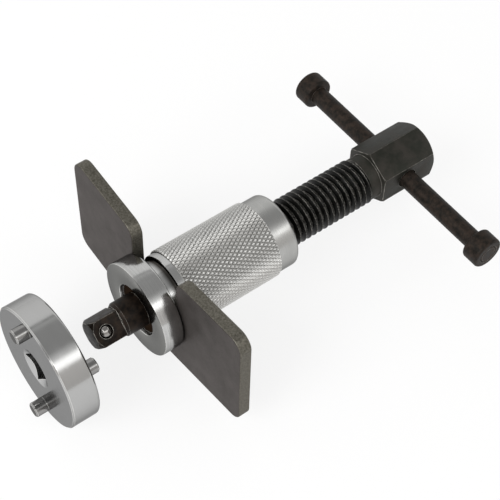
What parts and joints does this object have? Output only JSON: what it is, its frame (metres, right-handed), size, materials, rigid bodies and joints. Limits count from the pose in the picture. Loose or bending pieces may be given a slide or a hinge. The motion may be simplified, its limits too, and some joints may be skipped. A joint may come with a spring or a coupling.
{
  "type": "brake caliper piston tool",
  "caption": "Screw-thrust brake caliper piston tool with a sliding T-bar, knurled sleeve, slotted reaction plate, square drive and a pinned piston adaptor.",
  "frame": {"origin": "on the spindle's axis, in the shoulder where a socket or the adaptor seats on the square drive", "axes": "+X along the spindle towards the square drive, +Y along the reaction plate's wings and the T-bar, +Z towards the open mouth of the plate's slot"},
  "size_m": [0.1693, 0.1016, 0.0517],
  "materials": {
    "bright_sleeve": "bright zinc plate, diamond knurl on the grip",
    "tumbled_plate": "matte tumbled grey-brown steel",
    "black_spindle": "black oxide, oiled, glossier on the thread",
    "dark_ring": "spring steel, dark brown phosphate",
    "polished_ball": "polished bearing ball",
    "spring_wire": "drawn spring wire",
    "black_bar": "matte black oxide",
    "mirror_adaptor": "bright plated, turned and polished",
    "mirror_pin": "bright polished dowel"
  },
  "bodies": {
    "sleeve": {"sleeve": "bright_sleeve"},
    "plate": {"reaction_plate": "tumbled_plate"},
    "ring": {"stop_ring": "dark_ring"},
    "spindle": {"spindle": "black_spindle"},
    "detent": {"detent_ball": "polished_ball", "detent_spring": "spring_wire"},
    "bar": {"tommy_bar": "black_bar", "bar_cap_right": "black_bar", "bar_cap_left": "black_bar"},
    "adaptor": {"adaptor_disc": "mirror_adaptor", "front_pin_upper": "mirror_pin", "front_pin_lower": "mirror_pin", "rear_pin_right": "mirror_pin", "rear_pin_left": "mirror_pin"}
  },
  "joints": [
    {"name": "spindle_travel", "type": "slide", "parent": "sleeve", "child": "ring", "axis": [1, 0, 0], "range_m": [0, 0.0416]},
    {"name": "spindle_turn", "type": "hinge", "parent": "ring", "child": "spindle", "pos_m": [-0.0098, 0, 0], "axis": [1, 0, 0], "range_deg": [0, 5990]},
    {"name": "plate_swivel", "type": "hinge", "parent": "sleeve", "child": "plate", "pos_m": [-0.01785, 0, 0], "axis": [1, 0, 0], "continuous": true},
    {"name": "bar_slide", "type": "slide", "parent": "spindle", "child": "bar", "axis": [0, 1, 0], "range_m": [-0.036, 0.0318]},
    {"name": "adaptor_slide", "type": "slide", "parent": "spindle", "child": "adaptor", "axis": [-1, 0, 0], "range_m": [0, 0.021]},
    {"name": "ball_press", "type": "slide", "parent": "spindle", "child": "detent", "axis": [0, -0.7193, -0.6947], "range_m": [0, 0.0008], "stiffness_N_per_m": 4000, "springref_m": -0.0008}
  ],
  "couplings": [
    {"joint": "spindle_travel", "follows": "spindle_turn", "m_per_rad": 0.00039789}
  ]
}
